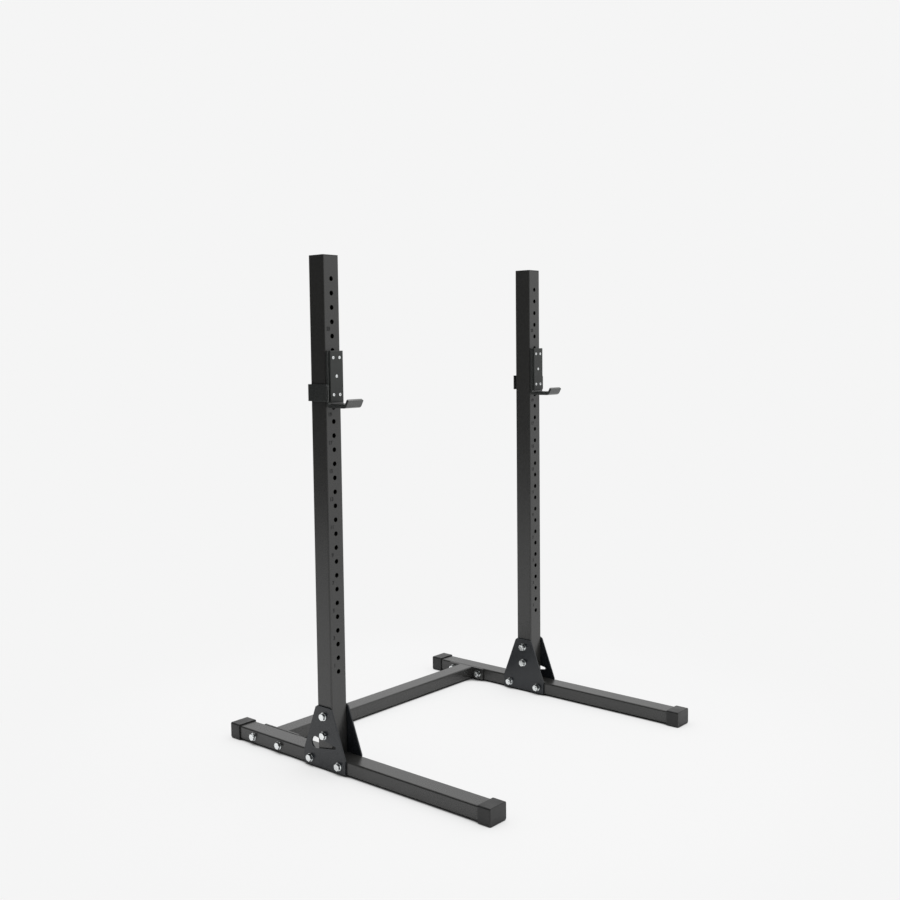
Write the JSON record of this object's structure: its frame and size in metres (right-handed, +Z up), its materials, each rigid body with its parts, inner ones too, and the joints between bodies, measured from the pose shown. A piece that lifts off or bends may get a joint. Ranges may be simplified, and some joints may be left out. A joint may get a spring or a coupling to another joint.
{
  "type": "squat stand",
  "caption": "Free-standing squat stand: two drilled square uprights on long feet, joined by a rear crossmember, with a bar hook on each upright",
  "frame": {"origin": "on the floor, under the middle of the stand's bounding box", "axes": "+Z up, -Y towards the front where the lifter steps in, +X to the right seen from the front"},
  "size_m": [1.309, 1.3, 1.845],
  "materials": {
    "upright_paint": "satin black powder coat",
    "frame_paint": "satin black powder coat",
    "gusset_paint": "satin black powder coat",
    "hook_paint": "satin black powder coat",
    "zinc": "bright zinc plating",
    "foot_rubber": "matte black moulded rubber",
    "cap_plastic": "matte black moulded plastic",
    "liner_plastic": "dark grey machined plastic"
  },
  "bodies": {
    "frame": {"left_upright": "upright_paint", "left_upright_cap": "cap_plastic", "left_foot_tube": "frame_paint", "left_front_foot_cap": "foot_rubber", "left_rear_foot_cap": "foot_rubber", "left_outer_gusset": "gusset_paint", "left_inner_gusset": "gusset_paint", "left_upright_lower_bolt": "zinc", "left_upright_lower_nut": "zinc", "left_upright_upper_bolt": "zinc", "left_upright_upper_nut": "zinc", "left_foot_front_bolt": "zinc", "left_foot_front_nut": "zinc", "left_foot_rear_bolt": "zinc", "left_foot_rear_nut": "zinc", "left_crossmember_front_bolt": "zinc", "left_crossmember_front_nut": "zinc", "left_crossmember_rear_bolt": "zinc", "left_crossmember_rear_nut": "zinc", "right_upright": "upright_paint", "right_upright_cap": "cap_plastic", "right_foot_tube": "frame_paint", "right_front_foot_cap": "foot_rubber", "right_rear_foot_cap": "foot_rubber", "right_outer_gusset": "gusset_paint", "right_inner_gusset": "gusset_paint", "right_upright_lower_bolt": "zinc", "right_upright_lower_nut": "zinc", "right_upright_upper_bolt": "zinc", "right_upright_upper_nut": "zinc", "right_foot_front_bolt": "zinc", "right_foot_front_nut": "zinc", "right_foot_rear_bolt": "zinc", "right_foot_rear_nut": "zinc", "right_crossmember_front_bolt": "zinc", "right_crossmember_front_nut": "zinc", "right_crossmember_rear_bolt": "zinc", "right_crossmember_rear_nut": "zinc", "rear_crossmember": "frame_paint"},
    "left_hook": {"left_hook_plate": "hook_paint", "left_hook_yoke": "hook_paint", "left_hook_back_liner": "liner_plastic", "left_hook_arm_liner": "liner_plastic", "left_hook_rear_pad": "liner_plastic", "left_hook_screw_1": "zinc", "left_hook_screw_2": "zinc", "left_hook_screw_3": "zinc", "left_hook_screw_4": "zinc", "left_hook_screw_5": "zinc"},
    "right_hook": {"right_hook_plate": "hook_paint", "right_hook_yoke": "hook_paint", "right_hook_back_liner": "liner_plastic", "right_hook_arm_liner": "liner_plastic", "right_hook_rear_pad": "liner_plastic", "right_hook_screw_1": "zinc", "right_hook_screw_2": "zinc", "right_hook_screw_3": "zinc", "right_hook_screw_4": "zinc", "right_hook_screw_5": "zinc"}
  },
  "joints": [
    {"name": "left_hook_pull", "type": "slide", "parent": "frame", "child": "left_hook", "axis": [0, -1, 0], "range_m": [0, 0.0065]},
    {"name": "right_hook_pull", "type": "slide", "parent": "frame", "child": "right_hook", "axis": [0, -1, 0], "range_m": [0, 0.0065]}
  ]
}
